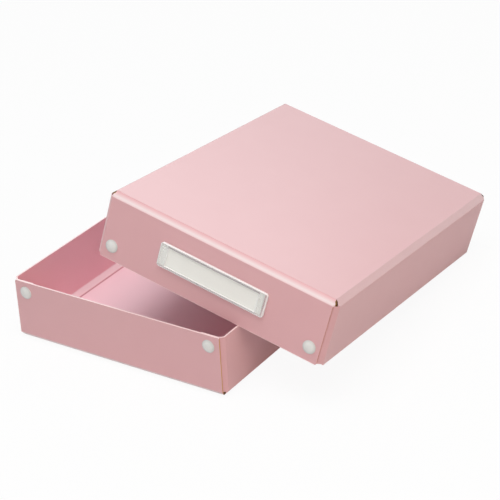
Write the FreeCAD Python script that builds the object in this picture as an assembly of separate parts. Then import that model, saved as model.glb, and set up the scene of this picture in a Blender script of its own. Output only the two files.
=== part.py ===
import math
import os

import FreeCAD
import Part

Vec = FreeCAD.Vector

# Lidded paperboard box with its lid leaning on the tray. Sizes in mm.
# Origin at the middle of the tray's underside, +Z up, -Y towards the labelled front.

# Boards
trayWidth = 223.0
trayDepth = 303.0
trayHeight = 58.0
lidHeight = 62.0
boardThick = 1.2
sideClear = 0.4         # lid to tray, each side, when the box is closed
endClear = 0.7          # lid to tray, front and back
baseCrease = 4.8        # leg of the bevel between base and walls
cornerCrease = 3.7      # leg of the bevel between a side wall and its flap
trayRawInset = 2.8      # raw edge of an end panel, in from the side
lidRawInset = 4.2
flapReach = 22.0        # free end of a flap, in from the side
flapTaper = 4.0
plyGap = 0.15           # between a flap and the panel it is riveted to
creaseGap = 0.3         # under the flaps, over the bevel
trayFlapDrop = 0.3      # flaps stop short of the rim
lidFlapDrop = 1.2
rimRound = 1.5
bevelReach = 1.2        # end panel's bevel, past the base's corner
stripDip = 1.5          # foot of a flap's bevel strip, below the wall's crease

# Snap rivets
headRadius = 6.0
headRim = 0.45
headRise = 1.9
shankRadius = 2.5
shankHoleGap = 0.3
shankFit = 0.05
socketThick = 2.2
socketFloor = 0.7
shankEndGap = 0.2
rivetInset = 14.0
trayRivetDrop = 10.5
lidRivetDrop = 13.0

# Label holder
holderLength = 106.0
holderHeight = 23.0
holderThick = 2.2
holderBase = 0.6
holderFoot = 18.0       # above the lid's lower edge
holderRound = 2.5
holderSoft = 0.7
endBar = 8.0
railBar = 2.5
cardThick = 0.35
cardSlotPlay = 0.25
cardSidePlay = 0.3
slotWall = 1.6
stopBar = 3.0
tapeThick = 0.4
tapeHeight = 6.0
tapeInset = 4.0

# Lean of the lid
leanHeading = 1.776     # turn about the vertical, degrees
leanShiftX = 84.7
leanShiftY = 32.5
restGap = 0.3

# Derived sizes
lidWidth = trayWidth + 2 * (boardThick + sideClear)
lidDepth = trayDepth + 2 * (boardThick + endClear)
mitre = boardThick * math.tan(math.radians(22.5))
gripDepth = 2 * boardThick + plyGap
frontPlane = -lidDepth / 2 - tapeThick


def prism(points, axis, low, high):
    # The points are in the plane across the axis, in the order x, y, z
    place = {
        "x": lambda p: Vec(low, p[0], p[1]),
        "y": lambda p: Vec(p[0], low, p[1]),
        "z": lambda p: Vec(p[0], p[1], low),
    }[axis]
    way = {"x": Vec(1, 0, 0), "y": Vec(0, 1, 0), "z": Vec(0, 0, 1)}[axis]
    wire = Part.makePolygon([place(p) for p in points] + [place(points[0])])
    return Part.Face(wire).extrude(way * (high - low))


def block(x0, x1, y0, y1, z0, z1):
    return Part.makeBox(x1 - x0, y1 - y0, z1 - z0, Vec(x0, y0, z0))


def joined(shapes):
    return shapes[0].multiFuse(shapes[1:]).removeSplitter()


def edgesWhere(shape, test):
    return [e for e in shape.Edges if all(test(v.Point) for v in e.Vertexes)]


def near(a, b):
    return abs(a - b) < 1e-4


def bevelSection(half):
    return [
        (half - baseCrease, 0),
        (half, baseCrease),
        (half - boardThick, baseCrease + mitre),
        (half - baseCrease - mitre, boardThick),
    ]


def wallSection(half, height):
    return [
        (half, baseCrease),
        (half, height),
        (half - boardThick, height),
        (half - boardThick, baseCrease + mitre),
    ]


def mirroredX(shape):
    return shape.mirror(Vec(0, 0, 0), Vec(1, 0, 0))


def mirroredY(shape):
    return shape.mirror(Vec(0, 0, 0), Vec(0, 1, 0))


def beyondBevel(half, axis, length):
    # The space below and outside a base bevel
    section = [
        (half - baseCrease, 0), (half, baseCrease), (half + baseCrease, baseCrease),
        (half + baseCrease, -baseCrease), (half - baseCrease, -baseCrease),
    ]
    return prism(section, axis, -length, length)


def beyondStrip(width, depth):
    # The space outside the bevel strip of the right wall's flap at the back
    side, outer = width / 2, depth / 2 - boardThick - plyGap
    plan = [
        (side, outer - cornerCrease), (side - cornerCrease, outer),
        (side - cornerCrease, outer + baseCrease), (side + baseCrease, outer + baseCrease),
        (side + baseCrease, outer - cornerCrease),
    ]
    return prism(plan, "z", -baseCrease, 2 * baseCrease)


def sideWall(width, depth, height):
    # Right wall and its bevel, as far as the creases of its two flaps
    reach = depth / 2 - boardThick - plyGap - cornerCrease
    wall = prism(wallSection(width / 2, height), "y", -reach, reach)
    sill = depth / 2 - boardThick - plyGap
    bevel = prism(bevelSection(width / 2), "y", -sill, sill)
    for outside in (beyondBevel(depth / 2, "x", width), beyondStrip(width, depth)):
        bevel = bevel.cut(outside).cut(mirroredY(outside))
    return [wall, bevel]


def endPanel(width, depth, height, inset):
    # Back panel and its bevel, with the free corners of the rim rounded
    reach = width / 2 - inset
    panel = prism(wallSection(depth / 2, height), "x", -reach, reach)
    corners = [
        e for x in (-reach, reach)
        for e in edgesWhere(panel, lambda p: near(p.z, height) and near(p.x, x))
    ]
    panel = panel.makeFillet(rimRound, corners)
    sill = width / 2 - baseCrease + bevelReach
    bevel = prism(bevelSection(depth / 2), "x", -sill, sill)
    outside = beyondBevel(width / 2, "y", depth)
    return [panel, bevel.cut(outside).cut(mirroredX(outside))]


def cornerFlap(width, depth, height, drop):
    # Right wall's flap at the back: a bevel strip, then the ply behind the panel
    side = width / 2
    outer = depth / 2 - boardThick - plyGap
    strip = [
        (side, outer - cornerCrease),
        (side - cornerCrease, outer),
        (side - cornerCrease - mitre, outer - boardThick),
        (side - boardThick, outer - cornerCrease - mitre),
    ]
    ply = [
        (side - cornerCrease, outer),
        (side - flapReach, outer),
        (side - flapReach, outer - boardThick),
        (side - cornerCrease - mitre, outer - boardThick),
    ]
    bend = prism(strip, "z", baseCrease - stripDip, height - drop)
    bend = bend.cut(beyondBevel(side, "y", depth)).cut(beyondBevel(depth / 2, "x", width))
    foot = baseCrease + mitre + creaseGap
    flap = prism(ply, "z", foot, height - drop)
    tip = side - flapReach
    taper = [(tip, foot), (tip + flapTaper, foot), (tip, foot + flapTaper)]
    return bend.fuse(flap.cut(prism(taper, "y", outer - boardThick - 1, outer + 1)))


def foldedBoard(width, depth, height, inset, drop, rivetDrop):
    # One blank: base, four walls on bevelled creases, four flaps, rivet holes
    floor = block(
        baseCrease - width / 2, width / 2 - baseCrease,
        baseCrease - depth / 2, depth / 2 - baseCrease, 0, boardThick,
    )
    right = sideWall(width, depth, height)
    back = endPanel(width, depth, height, inset)
    flap = cornerFlap(width, depth, height, drop)
    pieces = [floor] + right + back
    pieces += [mirroredX(s) for s in right] + [mirroredY(s) for s in back]
    pieces += [flap, mirroredX(flap), mirroredY(flap), mirroredX(mirroredY(flap))]
    board = joined(pieces)
    for x in (rivetInset - width / 2, width / 2 - rivetInset):
        for y in (-depth / 2 - 1, depth / 2 - gripDepth - 1):
            hole = Part.makeCylinder(
                shankRadius + shankHoleGap, gripDepth + 2,
                Vec(x, y, height - rivetDrop), Vec(0, 1, 0),
            )
            board = board.cut(hole)
    return board


def domeArc(radius, rimZ, topZ):
    # Meridian of a spherical cap from its rim to its crown
    rise = topZ - rimZ
    ball = (radius * radius + rise * rise) / (2 * abs(rise))
    half = math.asin(radius / ball) / 2
    way = 1 if rise > 0 else -1
    middle = Vec(ball * math.sin(half), 0, topZ - way * ball * (1 - math.cos(half)))
    return Part.Arc(Vec(radius, 0, rimZ), middle, Vec(0, 0, topZ)).toShape()


def turned(points, arc):
    # Open meridian of straight runs, closed by the arc
    spots = [Vec(r, 0, z) for r, z in points]
    runs = [Part.makeLine(a, b) for a, b in zip(spots, spots[1:])]
    face = Part.Face(Part.Wire(Part.__sortEdges__(runs + [arc])))
    return face.revolve(Vec(0, 0, 0), Vec(0, 0, 1), 360)


def snapStud():
    # Seat at z = 0, domed head above, shank below
    tip = -(gripDepth + socketThick - socketFloor - shankEndGap)
    lead = 0.4
    return turned(
        [
            (0, headRise), (0, tip), (shankRadius - lead, tip),
            (shankRadius, tip + lead), (shankRadius, 0),
            (headRadius, 0), (headRadius, headRim),
        ],
        domeArc(headRadius, headRim, headRise),
    )


def snapSocket():
    # Seat under the inner ply, with a blind bore for the shank
    seat = -gripDepth
    bore = seat - socketThick + socketFloor
    return turned(
        [
            (0, seat - socketThick), (0, bore), (shankRadius + shankFit, bore),
            (shankRadius + shankFit, seat), (headRadius, seat), (headRadius, seat - headRim),
        ],
        domeArc(headRadius, seat - headRim, seat - socketThick),
    )


def rivets(prefix, width, depth, height, toNode):
    # Four studs and sockets on the outer faces of the two end panels
    nodes = {}
    for end, way in (("front", -1), ("back", 1)):
        for hand, x in (("left", rivetInset - width / 2), ("right", width / 2 - rivetInset)):
            spot = FreeCAD.Placement(
                Vec(x, way * depth / 2, height), FreeCAD.Rotation(Vec(1, 0, 0), -90 * way)
            )
            for kind, shape in (("stud", snapStud()), ("socket", snapSocket())):
                shape.Placement = toNode.multiply(spot)
                nodes[prefix + "_" + kind + "_" + end + "_" + hand] = shape
    return nodes


def labelHolder():
    # Clear frame with a card slot that is open at its left end
    half = holderLength / 2
    foot = holderFoot - lidHeight
    top = foot + holderHeight
    front = frontPlane - holderThick
    body = block(-half, half, front, frontPlane, foot, top)
    corners = [
        e for e in body.Edges
        if near(e.Vertexes[0].X, e.Vertexes[1].X) and near(e.Vertexes[0].Z, e.Vertexes[1].Z)
    ]
    body = body.makeFillet(holderRound, corners)
    body = body.makeFillet(holderSoft, edgesWhere(body, lambda p: near(p.y, front)))
    slotFront = frontPlane - holderBase - cardThick - cardSlotPlay
    slot = block(
        -half - 1, half - stopBar, slotFront, frontPlane - holderBase,
        foot + slotWall, top - slotWall,
    )
    window = block(
        endBar - half, half - endBar, front - 1, slotFront + 0.1, foot + railBar, top - railBar
    )
    return body.cut(slot).cut(window)


def labelCard():
    # Seated on the lower rail, the end stop and the back plate
    half = holderLength / 2
    foot = holderFoot - lidHeight + slotWall
    back = frontPlane - holderBase
    tall = holderHeight - 2 * slotWall - cardSidePlay
    return block(cardSidePlay - half, half - stopBar, back - cardThick, back, foot, foot + tall)


def tapeStrip(foot):
    half = holderLength / 2 - tapeInset
    return block(-half, half, frontPlane, -lidDepth / 2, foot, foot + tapeHeight)


def leanPlacement():
    # Turn and height that rest the lid's lower rim on the back rim, the right rim and the table
    heading = math.radians(leanHeading)
    across, along = lidWidth / 2, lidDepth / 2
    flapEnd = along - boardThick - plyGap - cornerCrease
    xWay, yWay, zWay = Vec(1, 0, 0), Vec(0, 1, 0), Vec(0, 0, 1)
    spot = Vec(leanShiftX, leanShiftY, trayHeight + lidHeight / 2)

    def world(x, y):
        return spot + xWay * x + yWay * y - zWay * lidHeight

    for step in range(60):
        start, end = world(boardThick - across, -along), world(boardThick - across, along)
        onBack = start + (end - start) * ((trayDepth / 2 - start.y) / (end.y - start.y))
        start, end = world(-across, boardThick - along), world(across, boardThick - along)
        onRight = start + (end - start) * ((trayWidth / 2 - start.x) / (end.x - start.x))
        lowest = min(world(across, flapEnd), world(across - lidRawInset, along), key=lambda p: p.z)
        onBack.z = onRight.z = trayHeight + restGap
        onTable = Vec(lowest.x, lowest.y, restGap)
        zWay = (onRight - onTable).cross(onBack - onTable).normalize()
        if zWay.z < 0:
            zWay = -zWay
        level = Vec(math.cos(heading), math.sin(heading), 0)
        xWay = Vec(level.x, level.y, -(zWay.x * level.x + zWay.y * level.y) / zWay.z).normalize()
        yWay = zWay.cross(xWay)
        rise = (onTable - spot).dot(zWay) + lidHeight
        spot = Vec(leanShiftX, leanShiftY, spot.z + rise / zWay.z)
    return FreeCAD.Placement(
        FreeCAD.Matrix(
            xWay.x, yWay.x, zWay.x, spot.x,
            xWay.y, yWay.y, zWay.y, spot.y,
            xWay.z, yWay.z, zWay.z, spot.z,
            0, 0, 0, 1,
        )
    )


lean = leanPlacement()
nodes = {}

nodes["tray_board"] = foldedBoard(
    trayWidth, trayDepth, trayHeight, trayRawInset, trayFlapDrop, trayRivetDrop
)
nodes.update(
    rivets("tray", trayWidth, trayDepth, trayHeight - trayRivetDrop, FreeCAD.Placement())
)

# The lid is the same kind of blank turned over, so its origin is the middle of its top
lidBoard = foldedBoard(lidWidth, lidDepth, lidHeight, lidRawInset, lidFlapDrop, lidRivetDrop)
turnedOver = FreeCAD.Placement(Vec(0, 0, 0), FreeCAD.Rotation(Vec(1, 0, 0), 180))
lidBoard.Placement = lean.multiply(turnedOver)
nodes["lid_board"] = lidBoard
nodes.update(rivets("lid", lidWidth, lidDepth, lidRivetDrop - lidHeight, lean))

holderLow = holderFoot - lidHeight
fittings = {
    "label_holder": labelHolder(),
    "label_card": labelCard(),
    "holder_tape_lower": tapeStrip(holderLow + tapeInset),
    "holder_tape_upper": tapeStrip(holderLow + holderHeight - tapeInset - tapeHeight),
}
for name, shape in fittings.items():
    shape.Placement = lean
    nodes[name] = shape

os.makedirs("parts", exist_ok=True)
for name, shape in nodes.items():
    shape.exportStep("parts/" + name + ".step")
    print(name, shape.isValid(), len(shape.Solids), round(shape.Volume, 1))
print("lean", [round(v, 6) for v in lean.toMatrix().A])
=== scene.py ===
import math

import bpy
from mathutils import Matrix, Vector


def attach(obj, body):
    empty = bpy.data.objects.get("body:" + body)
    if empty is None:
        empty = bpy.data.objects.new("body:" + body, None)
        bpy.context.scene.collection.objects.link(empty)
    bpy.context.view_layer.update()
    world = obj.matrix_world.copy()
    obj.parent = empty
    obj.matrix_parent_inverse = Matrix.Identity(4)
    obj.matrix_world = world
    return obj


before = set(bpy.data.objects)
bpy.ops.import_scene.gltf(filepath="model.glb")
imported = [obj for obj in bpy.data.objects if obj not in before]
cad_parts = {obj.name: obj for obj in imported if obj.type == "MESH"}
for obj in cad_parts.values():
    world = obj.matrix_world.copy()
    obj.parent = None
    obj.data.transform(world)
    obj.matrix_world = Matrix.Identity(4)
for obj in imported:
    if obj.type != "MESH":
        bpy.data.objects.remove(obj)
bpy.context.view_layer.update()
scene = bpy.context.scene
mm = 0.001
slant = math.sqrt(2)
white = (1, 1, 1, 1)


def linear(red, green, blue):
    # sRGB bytes to the linear values that shaders take
    def one(v):
        v /= 255
        return v / 12.92 if v <= 0.04045 else ((v + 0.055) / 1.055) ** 2.4
    return (one(red), one(green), one(blue), 1)


class Wire:
    # A socket with arithmetic, so that shader maths reads as formulas
    def __init__(self, look, socket):
        self.look, self.socket = look, socket

    def math(self, kind, *others):
        return self.look.math(kind, self, *others)

    def __add__(self, other): return self.math("ADD", other)
    def __sub__(self, other): return self.math("SUBTRACT", other)
    def __mul__(self, other): return self.math("MULTIPLY", other)
    def __truediv__(self, other): return self.math("DIVIDE", other)
    def __gt__(self, other): return self.math("GREATER_THAN", other)
    def __lt__(self, other): return self.math("LESS_THAN", other)
    def __or__(self, other): return self.math("MAXIMUM", other)
    def __abs__(self): return self.math("ABSOLUTE")
    def __radd__(self, other): return self.look.math("ADD", other, self)
    def __rsub__(self, other): return self.look.math("SUBTRACT", other, self)
    def __rmul__(self, other): return self.look.math("MULTIPLY", other, self)

    def near(self, value, reach):
        # 1 at the value, falling to 0 at the reach
        return (1 - abs(self - value) / reach) | 0.0

    def ramp(self, low, high):
        # 0 up to low, 1 from high on
        return ((self - low) / (high - low) | 0.0).math("MINIMUM", 1.0)

    def dot(self, way):
        node = self.look.node(
            "ShaderNodeVectorMath", {"operation": "DOT_PRODUCT"}, {0: self, 1: tuple(way)})
        return Wire(self.look, node.outputs["Value"])


class Look:
    # The nodes of one material or world, and the means to add any node to them
    def __init__(self, owner, shader="Principled BSDF"):
        owner.use_nodes = True
        self.owner = owner
        self.nodes, self.links = owner.node_tree.nodes, owner.node_tree.links
        self.shader = self.nodes[shader]
        self.top = self.shader.outputs[0]

    def node(self, kind, settings=None, inputs=None):
        node = self.nodes.new(kind)
        for key, value in (settings or {}).items():
            setattr(node, key, value)
        self.feed(node, inputs or {})
        return node

    def feed(self, node, inputs):
        for key, value in inputs.items():
            if isinstance(value, Wire):
                self.links.new(value.socket, node.inputs[key])
            else:
                node.inputs[key].default_value = value

    def math(self, kind, *values):
        node = self.node("ShaderNodeMath", {"operation": kind}, dict(enumerate(values)))
        return Wire(self, node.outputs[0])

    def place(self):
        return Wire(self, self.node("ShaderNodeTexCoord").outputs["Object"])

    def noise(self, where, scale, detail, rough=0.5):
        node = self.node("ShaderNodeTexNoise", None, {
            "Vector": where, "Scale": scale, "Detail": detail, "Roughness": rough})
        return Wire(self, node.outputs["Fac"])

    def blend(self, share, first, second):
        node = self.node("ShaderNodeMix", {"data_type": "RGBA"}, {0: share, 6: first, 7: second})
        return Wire(self, node.outputs[2])

    def bump(self, height, strength, distance):
        node = self.node("ShaderNodeBump", None, {
            "Height": height, "Strength": strength, "Distance": distance})
        return Wire(self, node.outputs["Normal"])

    def finish(self, **inputs):
        self.feed(self.shader, {k.replace("_", " "): v for k, v in inputs.items()})
        return self.owner

    def over(self, share, kind, inputs):
        # Another shader in front where the share is 1
        front = self.node(kind, None, inputs).outputs[0]
        layers = {0: share, 1: Wire(self, self.top), 2: Wire(self, front)}
        self.top = self.node("ShaderNodeMixShader", None, layers).outputs[0]
        self.links.new(self.top, self.nodes["Material Output"].inputs["Surface"])

    def seen(self):
        # 1 for what the camera sees, also by reflection or through clear plastic
        path = self.node("ShaderNodeLightPath")
        camera, glossy, through = [Wire(self, path.outputs["Is %s Ray" % k])
                                   for k in ("Camera", "Glossy", "Transmission")]
        return camera | glossy | through


def materialLook(name):
    return Look(bpy.data.materials.new(name))


def paint(material, *names):
    for name in names:
        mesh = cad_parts[name].data
        mesh.materials.clear()
        mesh.materials.append(material)


# Where each board lies: the tray in the part's own frame, the lid on its lean
# Sizes are in millimetres, origins in metres
tray = {
    "width": 223.0, "depth": 303.0, "height": 58.0,
    "rawInset": 2.8, "flapDrop": 0.3, "rivetHeight": 47.5,
    "raw": linear(214, 168, 124),
    "origin": Vector((0, 0, 0)),
    "axes": (Vector((1, 0, 0)), Vector((0, 1, 0)), Vector((0, 0, 1))),
}
lid = {
    "width": 226.2, "depth": 306.8, "height": 62.0,
    "rawInset": 4.2, "flapDrop": 1.2, "rivetHeight": 49.0,
    "raw": linear(220, 166, 154),
    "origin": Vector((0.0847, 0.0325, 0.10679)),
    "axes": (Vector((0.96811, 0.030018, -0.248719)), Vector((-0.063297, 0.989893, -0.126904)),
             Vector((-0.242396, -0.1386, -0.960226))),
}
fold = {"board": 1.2, "crease": 4.8, "corner": 3.7, "ply": 1.35, "flap": 22.0,
        "mitre": 1.2 * math.tan(math.radians(22.5))}


def boardPlace(look, spot):
    # Millimetres in from a side, in from an end, and up from the board's base
    where = look.place()
    x, y, z = [(where.dot(way) - way.dot(spot["origin"])) / mm for way in spot["axes"]]
    return where, spot["width"] / 2 - abs(x), spot["depth"] / 2 - abs(y), z


# Noises are scale, detail, roughness; bumps are strength, distance; reaches and slacks are millimetres
boardLook = {
    "face": linear(225, 175, 178), "fleck": linear(221, 169, 173),
    "crease": linear(206, 148, 152), "worn": linear(232, 214, 215), "rim": linear(250, 222, 221),
    "grain": (1400, 4, 0.6), "cloud": (35, 3), "cloudFleck": 0.6, "grainFleck": 0.25,
    "topCoat": 1.0, "endCoat": 0.3, "sideCoat": 0.05, "coatRough": 0.27, "coatIor": 1.6,
    "sheen": 0.4, "sheenRough": 0.45, "specular": 0.2,
    "rough": 0.46, "grainRough": 0.12, "cloudRough": 0.06,
    "bump": (0.12, 0.0002), "grainDepth": 0.6, "creaseDepth": 0.8,
    "baseSlack": 0.2, "wallReach": 0.5, "baseReach": 0.6, "creaseShade": 0.35,
    "bevelReach": 0.4, "bevelCut": 0.1, "sideWear": 0.25, "endWear": (3.4, 2.6),
    "faceSlack": 0.3, "rimWear": 0.3,
    "flapSlack": 0.1, "flapSkin": 0.06, "flapFrom": 0.05, "flapTo": 2.0,
}
liningLook = {
    "base": linear(247, 213, 220), "baseFleck": linear(243, 206, 214),
    "wall": linear(254, 199, 208), "wallFleck": linear(251, 192, 202),
    "bevel": linear(252, 222, 226), "bevelReach": 0.5, "bevelCut": 0.2, "bevelShare": 0.9,
    "valley": linear(180, 100, 112), "valleyInset": 1.9, "valleyReach": 1.5, "valleyShare": 0.9,
    "rough": 0.66, "grainRough": 0.1, "specular": 0.15,
}
cutLook = {
    "core": linear(84, 56, 28), "pulp": linear(158, 118, 70), "slit": 1.6,
    "fibre": (2600, 2), "fibreShare": 0.4, "lit": (0.2, 0.9),
    "skin": 0.06, "endSlack": 0.03, "rough": 0.95, "specular": 0.1,
}


def boardMaterial(name, spot):
    look = materialLook(name)
    where, side, end, z = boardPlace(look, spot)
    board, wide = fold["board"], fold["crease"]
    film, lining, cut = boardLook, liningLook, cutLook
    grain, cloud = look.noise(where, *film["grain"]), look.noise(where, *film["cloud"])
    fleck = cloud * film["cloudFleck"] + grain * film["grainFleck"]
    # Pressed creases on both faces of each fold; their darker colour below is painted shade
    low = z < board + film["baseSlack"]
    crease = z.near(wide, film["wallReach"]) | (
        side.near(wide, film["baseReach"]) * low) | end.near(wide, film["baseReach"]) * low
    height = look.bump(grain * film["grainDepth"] - crease * film["creaseDepth"], *film["bump"])
    # Rim of the walls, and of the flaps behind the end panels: pale cut edges, with a painted
    # highlight carried down the top of the walls
    flapTop = (abs(z - (spot["height"] - spot["flapDrop"])) < film["flapSkin"]) * (
        side < fold["flap"] + film["flapSlack"]) * (
        end > board + film["flapFrom"]) * (end < wide + film["flapTo"])
    rim = (z > spot["height"] - film["rimWear"]) | flapTop
    # Film outside: paler on the bevels, partly stress whitening and partly a painted highlight that
    # peaks low on the end bevels; glossiest on the base
    strip = side + end - (fold["corner"] + fold["ply"])
    sideBevel, endBevel = [(v + z).near(wide, film["bevelReach"]) for v in (side, end)]
    stretch = sideBevel * film["sideWear"] | endBevel * z.near(*film["endWear"])
    face = look.blend(fleck, film["face"], film["fleck"])
    # Painted shade: the face colour darkens along the creases
    face = look.blend(crease * film["creaseShade"], face, film["crease"])
    # Stress whitening and painted highlight on the outer bevels
    face = look.blend(stretch, face, film["worn"])
    matt = (side < film["faceSlack"]) | (abs(strip) < film["faceSlack"])
    plain = (end < film["faceSlack"]) | (endBevel > film["bevelCut"])
    gloss = film["topCoat"] - plain * (film["topCoat"] - film["endCoat"])
    look.finish(
        Base_Color=look.blend(rim, face, film["rim"]),
        Roughness=grain * film["grainRough"] + cloud * film["cloudRough"] + film["rough"],
        Specular_IOR_Level=film["specular"],
        Sheen_Weight=film["sheen"],
        Sheen_Roughness=film["sheenRough"],
        Coat_Weight=gloss * (1 - matt) + matt * film["sideCoat"],
        Coat_Roughness=film["coatRough"],
        Coat_IOR=film["coatIor"],
        Normal=height,
    )
    # Lining: the faces past the middle of the board, also on the bevels, are uncoated paper
    middle, inner = board / 2, wide + slant * board
    skew = wide + slant * middle
    inside = (side > middle) * (end > middle) * (z > middle) * (
        side + z > skew) * (end + z > skew) * (strip > slant * middle)
    innerSide, innerEnd = [(v + z).near(inner, lining["bevelReach"]) for v in (side, end)]
    bevel = (innerSide | innerEnd) > lining["bevelCut"]
    foot = wide + lining["valleyInset"]
    valley = (side.near(foot, lining["valleyReach"]) | end.near(foot, lining["valleyReach"])) * low
    # Painted light and shade: the lining's base is painted paler as if lit, its walls deeper as if
    # shaded
    paper = look.blend(
        low,
        look.blend(fleck, lining["wall"], lining["wallFleck"]),
        look.blend(fleck, lining["base"], lining["baseFleck"]),
    )
    # Painted light: the inner bevels are lighter, as if lit from above
    paper = look.blend(bevel * lining["bevelShare"], paper, lining["bevel"])
    # Painted shade: a darker line along the foot of the inner bevels
    paper = look.blend(valley * lining["valleyShare"], paper, lining["valley"])
    look.over(inside * (1 - rim), "ShaderNodeBsdfPrincipled", {
        "Base Color": paper, "Roughness": grain * lining["grainRough"] + lining["rough"],
        "Specular IOR Level": lining["specular"], "Normal": height})
    # Cut ends of the front and back panels, and the relief slits at the corners; the slits are painted
    # dark brown, the board's core and painted shade in their depth
    raw = (abs(side - spot["rawInset"]) < cut["skin"]) * (end < board + cut["endSlack"])
    slit = (abs(side - end) < cut["slit"]) * (side < wide) * (end < wide) * (z < wide)
    fibre = look.noise(where, *cut["fibre"]) * cut["fibreShare"] + (1 - cut["fibreShare"])
    # Painted light: the slits turn from dark to ochre towards one side, as if lit there
    lit = (side - end).ramp(*cut["lit"]) * fibre
    pulp = look.blend(slit, spot["raw"], look.blend(lit, cut["core"], cut["pulp"]))
    look.over(raw | slit, "ShaderNodeBsdfPrincipled", {
        "Base Color": pulp, "Roughness": cut["rough"], "Specular IOR Level": cut["specular"]})
    return look.owner


trayLaminate = boardMaterial("trayLaminate", tray)
lidLaminate = boardMaterial("lidLaminate", lid)
paint(trayLaminate, "tray_board")
paint(lidLaminate, "lid_board")
print("boards painted")

plasticLook = {
    "white": linear(233, 233, 230), "shade": linear(224, 224, 221), "edge": linear(196, 194, 192),
    "inset": 14.0, "radius": 6.0, "grime": (0.62, 1.05), "grimeShare": 0.8,
    "cloud": (240, 2), "fine": (3000, 3), "rough": 0.22, "fineRough": 0.12, "bump": (0.05, 0.0001),
}


def rivetMaterial(name, spot):
    look = materialLook(name)
    where, side, end, z = boardPlace(look, spot)
    cloud, fine = [look.noise(where, *plasticLook[k]) for k in ("cloud", "fine")]
    # Painted shade: darker towards the foot of each dome
    across, up = side - plasticLook["inset"], z - spot["rivetHeight"]
    out = (across * across + up * up).math("SQRT") / plasticLook["radius"]
    grime = out.ramp(*plasticLook["grime"]) * plasticLook["grimeShare"]
    clean = look.blend(cloud, plasticLook["white"], plasticLook["shade"])
    return look.finish(
        Base_Color=look.blend(grime, clean, plasticLook["edge"]),
        Roughness=fine * plasticLook["fineRough"] + plasticLook["rough"],
        Normal=look.bump(fine, *plasticLook["bump"]),
    )


for prefix, spot in (("tray", tray), ("lid", lid)):
    names = [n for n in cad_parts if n.startswith(prefix) and ("_stud_" in n or "_socket_" in n)]
    paint(rivetMaterial(prefix + "RivetPlastic", spot), *names)

# The holder's half length, and its top and foot measured down from the lid's top
holderLook = {
    "clear": linear(252, 253, 252), "edge": white, "shade": linear(186, 176, 181),
    "alpha": 0.24, "edgeAlpha": 0.8, "flowAlpha": 0.04,
    "half": 53.0, "top": 21.0, "foot": 44.0, "endBar": 8.0, "rail": 2.5,
    "edgeReach": 0.9, "windowReach": 0.5, "windowSlack": 0.4, "edgeCut": 0.15,
    "shadeReach": 0.6, "shadeCut": 0.1,
    "flow": (60, 2), "scuff": (1800, 4), "rough": 0.1, "scuffRough": 0.05, "ior": 1.55,
    "bump": (0.02, 0.0003),
}


def holderMaterial():
    look, clear = materialLook("clearStyrene"), holderLook
    where, side, end, z = boardPlace(look, lid)
    across = lid["width"] / 2 - side
    flow, scuff = [look.noise(where, *clear[k]) for k in ("flow", "scuff")]
    # Moulded edges of the frame and of its window catch the light
    half, top, foot = [clear[k] for k in ("half", "top", "foot")]
    reach, inReach, slack = [clear[k] for k in ("edgeReach", "windowReach", "windowSlack")]
    outer = across.near(half, reach) | z.near(top, reach) | z.near(foot, reach)
    inHalf, inTop, inFoot = half - clear["endBar"], top + clear["rail"], foot - clear["rail"]
    framed = (across < inHalf + slack) * (z > inTop - slack) * (z < inFoot + slack)
    inner = framed * (
        across.near(inHalf, inReach) | z.near(inTop, inReach) | z.near(inFoot, inReach))
    edge = (outer | inner) > clear["edgeCut"]
    # The window's upper edge stands in its own shade
    shaded = framed * (z.near(inTop, clear["shadeReach"]) > clear["shadeCut"])
    bright = look.blend(edge, clear["clear"], clear["edge"])
    body = flow * clear["flowAlpha"] + clear["alpha"]
    return look.finish(
        Base_Color=look.blend(shaded, bright, clear["shade"]),
        Roughness=scuff * clear["scuffRough"] + clear["rough"],
        Alpha=body + edge * (clear["edgeAlpha"] - clear["alpha"]),
        IOR=clear["ior"],
        Normal=look.bump(flow, *clear["bump"]),
    )


paint(holderMaterial(), "label_holder")

paperLook = {"long": (900, 5, 0.65), "fine": (4000, 2), "longShare": 0.8, "fineRough": 0.1,
             "bump": (0.1, 0.0001)}
cardLook = {"pale": linear(248, 248, 243), "fibre": linear(240, 240, 234), "rough": 0.7}
tapeLook = {"pale": linear(232, 229, 220), "fibre": linear(221, 217, 206), "rough": 0.55}


def paperMaterial(name, sheet):
    look = materialLook(name)
    where = look.place()
    long, fine = [look.noise(where, *paperLook[k]) for k in ("long", "fine")]
    return look.finish(
        Base_Color=look.blend(long * paperLook["longShare"], sheet["pale"], sheet["fibre"]),
        Roughness=fine * paperLook["fineRough"] + sheet["rough"],
        Normal=look.bump(long, *paperLook["bump"]),
    )


paint(paperMaterial("labelPaper", cardLook), "label_card")
paint(paperMaterial("foamTape", tapeLook), "holder_tape_lower", "holder_tape_upper")
print("fittings painted")


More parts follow.
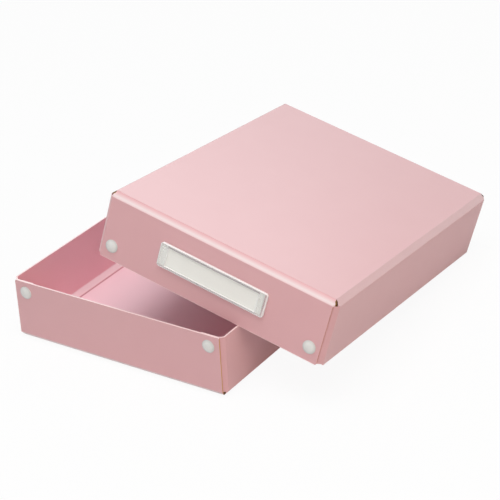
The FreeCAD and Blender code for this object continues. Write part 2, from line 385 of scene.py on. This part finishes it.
def beadTree(name):
    # Edges in, a pressed bead along each of them out
    tree = bpy.data.node_groups.new(name, "GeometryNodeTree")
    face = tree.interface
    face.new_socket("Lines", in_out="INPUT", socket_type="NodeSocketGeometry")
    face.new_socket("Radius", in_out="INPUT", socket_type="NodeSocketFloat")
    face.new_socket("Sides", in_out="INPUT", socket_type="NodeSocketInt")
    face.new_socket("Material", in_out="INPUT", socket_type="NodeSocketMaterial")
    face.new_socket("Beads", in_out="OUTPUT", socket_type="NodeSocketGeometry")
    make, link = tree.nodes.new, tree.links.new
    start, end = make("NodeGroupInput"), make("NodeGroupOutput")
    curve, ring = make("GeometryNodeMeshToCurve"), make("GeometryNodeCurvePrimitiveCircle")
    sweep, real = make("GeometryNodeCurveToMesh"), make("GeometryNodeRealizeInstances")
    dress = make("GeometryNodeSetMaterial")
    sweep.inputs["Fill Caps"].default_value = True
    link(start.outputs["Lines"], curve.inputs["Mesh"])
    link(start.outputs["Sides"], ring.inputs["Resolution"])
    link(start.outputs["Radius"], ring.inputs["Radius"])
    link(curve.outputs["Curve"], sweep.inputs["Curve"])
    link(ring.outputs["Curve"], sweep.inputs["Profile Curve"])
    link(sweep.outputs["Mesh"], real.inputs["Geometry"])
    link(real.outputs["Geometry"], dress.inputs["Geometry"])
    link(start.outputs["Material"], dress.inputs["Material"])
    link(dress.outputs["Geometry"], end.inputs["Beads"])
    return tree


beadLook = {"radius": 0.32, "sides": 10, "short": 7.0}  # short: how far a bead stops from the corner
beads = beadTree("creaseBeads")


def creaseBeads(name, spot, material, body):
    # The folds inside a board: base to bevel, and bevel to wall, on all four sides
    halfWidth, halfDepth = spot["width"] / 2, spot["depth"] / 2
    outFold = fold["crease"] + fold["mitre"]
    points = []
    for inset, height in ((outFold, fold["board"]), (fold["board"], outFold)):
        for way in (-1, 1):
            across, along = way * (halfWidth - inset), halfDepth - beadLook["short"]
            points += [(across, -along, height), (across, along, height)]
            across, along = way * (halfDepth - inset), halfWidth - beadLook["short"]
            points += [(-along, across, height), (along, across, height)]
    edges = [(i, i + 1) for i in range(0, len(points), 2)]
    spots = [spot["origin"] + sum((w * v * mm for w, v in zip(spot["axes"], p)), Vector())
             for p in points]
    mesh = bpy.data.meshes.new(name + "Lines")
    mesh.from_pydata(spots, edges, [])
    piece = bpy.data.objects.new(name, mesh)
    scene.collection.objects.link(piece)
    modifier = piece.modifiers.new("beads", "NODES")
    modifier.node_group = beads
    values = {"Radius": beadLook["radius"] * mm, "Sides": beadLook["sides"], "Material": material}
    for item in beads.interface.items_tree:
        if item.in_out == "INPUT" and item.name in values:
            modifier[item.identifier] = values[item.name]
    piece.update_tag()
    bpy.context.view_layer.update()
    graph = bpy.context.evaluated_depsgraph_get()
    plain = bpy.data.meshes.new_from_object(piece.evaluated_get(graph))
    piece.modifiers.clear()
    piece.data = plain
    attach(piece, body)


creaseBeads("trayCreaseBeads", tray, trayLaminate, "tray")
creaseBeads("lidCreaseBeads", lid, lidLaminate, "lid")
print("crease beads made")

# Floor, light and camera, in metres
floorLook = {"size": 12.0, "drop": 0.0002, "tone": (0.86, 0.86, 0.86, 1), "rough": 0.9,
             "seenShare": 0.93, "seen": 1.0}


def makeFloor():
    s, low = floorLook["size"] / 2, -floorLook["drop"]
    mesh = bpy.data.meshes.new("floor")
    mesh.from_pydata([(-s, -s, low), (s, -s, low), (s, s, low), (-s, s, low)], [], [(0, 1, 2, 3)])
    floor = bpy.data.objects.new("floor", mesh)
    scene.collection.objects.link(floor)
    look = materialLook("paleFloor")
    look.over(look.seen() * floorLook["seenShare"], "ShaderNodeEmission", {
        "Color": white, "Strength": floorLook["seen"]})
    mesh.materials.append(look.finish(
        Base_Color=floorLook["tone"], Roughness=floorLook["rough"], Specular_IOR_Level=0.0))


makeFloor()

skyLook = {"fill": 0.26, "seen": 1.0}


def makeSky():
    scene.world = bpy.data.worlds.new("studio")
    look = Look(scene.world, "Background")
    fill, seen = skyLook["fill"], skyLook["seen"]
    look.finish(Color=white, Strength=look.seen() * (seen - fill) + fill)


makeSky()

lampLook = {
    "keyBox": {"spot": (0.22, -0.5, 1.9), "aim": (0.0, 0.0, 0.05), "size": (1.5, 1.5),
               "power": 27, "tint": (1, 1, 1)},
    "backBox": {"spot": (-0.94, 1.65, 1.47), "aim": (0.05, 0.05, 0.05), "size": (1.5, 0.9),
                "power": 6.6, "tint": (0.86, 0.96, 1)},
    "frontBox": {"spot": (1.1, -1.8, 1.1), "aim": (0.0, 0.0, 0.05), "size": (2.2, 1.7),
                 "power": 7.2, "tint": (1, 0.96, 0.92)},
    "warmBox": {"spot": (1.3, -0.35, 0.45), "aim": (0.1, 0.0, 0.05), "size": (0.5, 0.4),
                "power": 1.15, "tint": (1, 0.55, 0.14)},
}


def softBox(name, spot, aim, size, power, tint):
    data = bpy.data.lights.new(name, "AREA")
    data.shape, data.energy, data.color = "RECTANGLE", power, tint
    data.size, data.size_y = size
    lamp = bpy.data.objects.new(name, data)
    lamp.location = spot
    lamp.rotation_euler = (Vector(aim) - Vector(spot)).to_track_quat("-Z", "Y").to_euler()
    scene.collection.objects.link(lamp)


for name, values in lampLook.items():
    softBox(name, **values)

# The focal length is in pixels of the square image, the angles are in degrees
cameraLook = {"focal": 1830.3, "image": 500, "sensor": 36, "near": 0.05, "far": 50,
              "spot": (0.87319, -1.20504, 0.82043), "yaw": -34.650, "pitch": 27.657, "roll": -3.332}


def makeCamera():
    # Place and turn come from lines fitted to the photograph's edges
    yaw, pitch, roll = [math.radians(cameraLook[k]) for k in ("yaw", "pitch", "roll")]
    flat = math.cos(pitch)
    ahead = Vector((flat * math.sin(yaw), flat * math.cos(yaw), -math.sin(pitch)))
    side = Vector((math.cos(yaw), -math.sin(yaw), 0))
    up = side.cross(ahead)
    c, s = math.cos(roll), math.sin(roll)
    side, up = side * c + up * s, up * c - side * s
    turn = Matrix((side, up, -ahead)).transposed().to_4x4()
    data = bpy.data.cameras.new("camera")
    data.sensor_width = cameraLook["sensor"]
    data.lens = cameraLook["focal"] / cameraLook["image"] * cameraLook["sensor"]
    data.clip_start, data.clip_end = cameraLook["near"], cameraLook["far"]
    camera = bpy.data.objects.new("camera", data)
    camera.matrix_world = Matrix.Translation(cameraLook["spot"]) @ turn
    scene.collection.objects.link(camera)
    scene.camera = camera


makeCamera()
scene.view_settings.view_transform = "Standard"
print("stage set")
